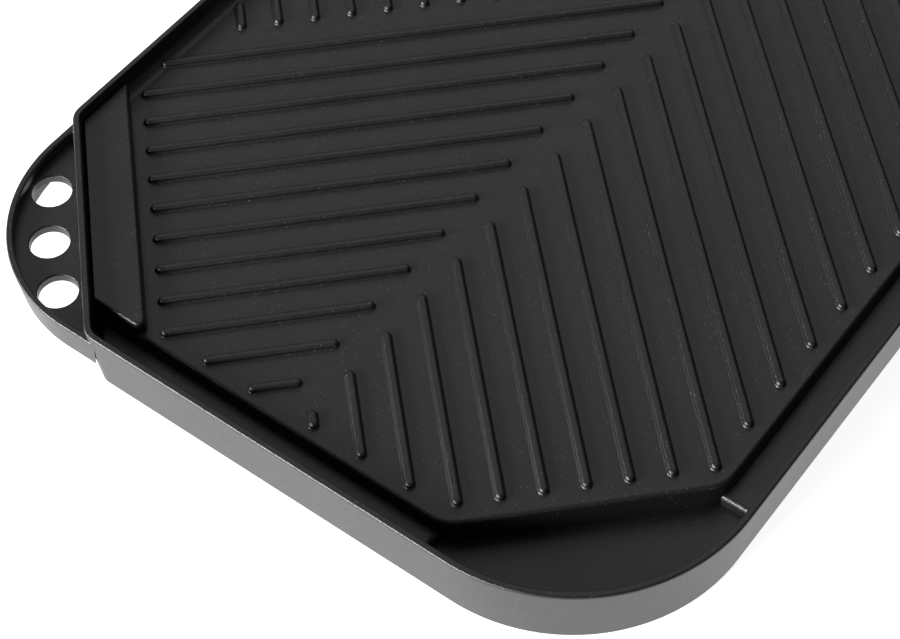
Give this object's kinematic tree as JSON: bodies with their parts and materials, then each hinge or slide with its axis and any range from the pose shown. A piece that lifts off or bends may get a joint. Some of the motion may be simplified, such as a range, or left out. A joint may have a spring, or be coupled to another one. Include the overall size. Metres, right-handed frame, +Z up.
{
  "type": "griddle plate",
  "caption": "Rectangular cast two-burner griddle plate with angled ribs, a raised rim, grease channels running into corner wells, and pierced corner handles.",
  "frame": {"origin": "on the resting plane, under the middle of the plate's outline", "axes": "+X along the plate's length towards the far end, +Y towards the long side beside the near handle, +Z up out of the cooking face"},
  "size_m": [0.5096, 0.264, 0.0254],
  "materials": {
    "cast_body": "satin",
    "cast_cooking_face": "satin"
  },
  "bodies": {
    "root": {"near_deck": "cast_cooking_face", "far_deck": "cast_cooking_face", "near_end_wall": "cast_body", "far_end_wall": "cast_body", "near_well_wall": "cast_body", "far_well_wall": "cast_body", "right_channel_wall": "cast_body", "left_channel_wall": "cast_body", "left_deck_wall": "cast_body", "right_deck_wall": "cast_body", "near_handle_wall": "cast_body", "far_handle_wall": "cast_body", "near_handle": "cast_body", "far_handle": "cast_body", "near_pad": "cast_cooking_face", "far_pad": "cast_cooking_face", "near_end_channel": "cast_body", "far_end_channel": "cast_body", "right_channel": "cast_body", "left_channel": "cast_body", "near_grease_well": "cast_body", "far_grease_well": "cast_body", "near_left_ribs": "cast_cooking_face", "far_right_ribs": "cast_cooking_face", "near_right_ribs": "cast_cooking_face", "far_left_ribs": "cast_cooking_face", "middle_right_ribs": "cast_cooking_face", "middle_left_ribs": "cast_cooking_face", "left_dividing_rib": "cast_cooking_face", "right_dividing_rib": "cast_cooking_face"}
  },
  "joints": []
}
